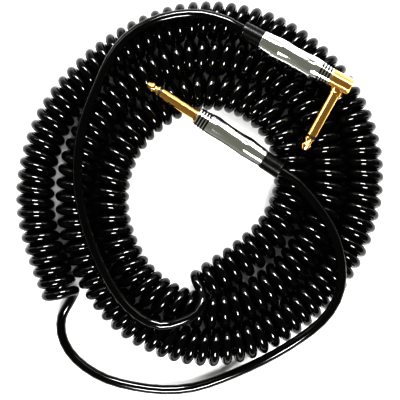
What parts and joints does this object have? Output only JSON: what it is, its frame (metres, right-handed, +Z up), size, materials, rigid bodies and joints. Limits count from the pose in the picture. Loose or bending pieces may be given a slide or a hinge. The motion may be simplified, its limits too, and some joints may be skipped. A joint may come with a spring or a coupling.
{
  "type": "coiled instrument cable",
  "caption": "Black curly instrument cable lying in loose laps, with a straight and a right-angle phone plug whose chrome barrels unscrew.",
  "frame": {"origin": "on the surface under the middle of the laps", "axes": "+Z up from the surface; the laps lie in the XY plane, the right-angle plug towards +X +Y"},
  "size_m": [0.2157, 0.2328, 0.0347],
  "materials": {
    "jacket": "glossy",
    "gold": "polished",
    "chrome": "polished",
    "boot": "satin",
    "insulator": "matte",
    "liner": "satin",
    "core_insulation": "satin",
    "copper": "bare wire",
    "tinned": "satin",
    "solder": "satin"
  },
  "bodies": {
    "cable": {"angled_core_insulation": "core_insulation", "angled_core_solder": "solder", "angled_core_wire": "copper", "angled_elbow_body": "gold", "angled_elbow_cap": "gold", "angled_ground_clamp": "tinned", "angled_inner_bush": "insulator", "angled_jacket_end": "jacket", "angled_lead": "jacket", "angled_lug_tube": "insulator", "angled_neck_ring": "gold", "angled_rod_spacer": "insulator", "angled_shield_solder": "solder", "angled_shield_tail": "copper", "angled_sleeve_contact": "gold", "angled_tip_contact": "gold", "angled_tip_lug": "tinned", "angled_tip_ring": "insulator", "curly_coil": "jacket", "straight_core_insulation": "core_insulation", "straight_core_solder": "solder", "straight_core_wire": "copper", "straight_ground_clamp": "tinned", "straight_inner_bush": "insulator", "straight_jacket_end": "jacket", "straight_lead": "jacket", "straight_rear_washer": "insulator", "straight_shield_solder": "solder", "straight_shield_tail": "copper", "straight_sleeve_contact": "gold", "straight_tip_contact": "gold", "straight_tip_lug": "tinned", "straight_tip_ring": "insulator"},
    "straight_boot_and_liner": {"straight_boot": "boot", "straight_liner": "liner"},
    "straight_barrel_shell": {"straight_barrel": "chrome"},
    "angled_boot_and_liner": {"angled_boot": "boot", "angled_liner": "liner"},
    "angled_barrel_shell": {"angled_barrel": "chrome"}
  },
  "joints": [
    {"name": "straight_barrel_travel", "type": "slide", "parent": "cable", "child": "straight_boot_and_liner", "axis": [0.8377, -0.5461, 0], "range_m": [0, 0.00601]},
    {"name": "straight_barrel_turn", "type": "hinge", "parent": "straight_boot_and_liner", "child": "straight_barrel_shell", "pos_m": [-0.00262, 0.03913, 0.0252], "axis": [0.8377, -0.5461, 0], "range_deg": [0, 2880]},
    {"name": "angled_barrel_travel", "type": "slide", "parent": "cable", "child": "angled_boot_and_liner", "axis": [-0.8763, 0.4818, 0], "range_m": [0, 0.00601]},
    {"name": "angled_barrel_turn", "type": "hinge", "parent": "angled_boot_and_liner", "child": "angled_barrel_shell", "pos_m": [0.07417, 0.06082, 0.028], "axis": [-0.8763, 0.4818, 0], "range_deg": [0, 2880]}
  ],
  "couplings": [
    {"joint": "straight_barrel_travel", "follows": "straight_barrel_turn", "m_per_rad": 0.00011937},
    {"joint": "angled_barrel_travel", "follows": "angled_barrel_turn", "m_per_rad": 0.00011937}
  ]
}
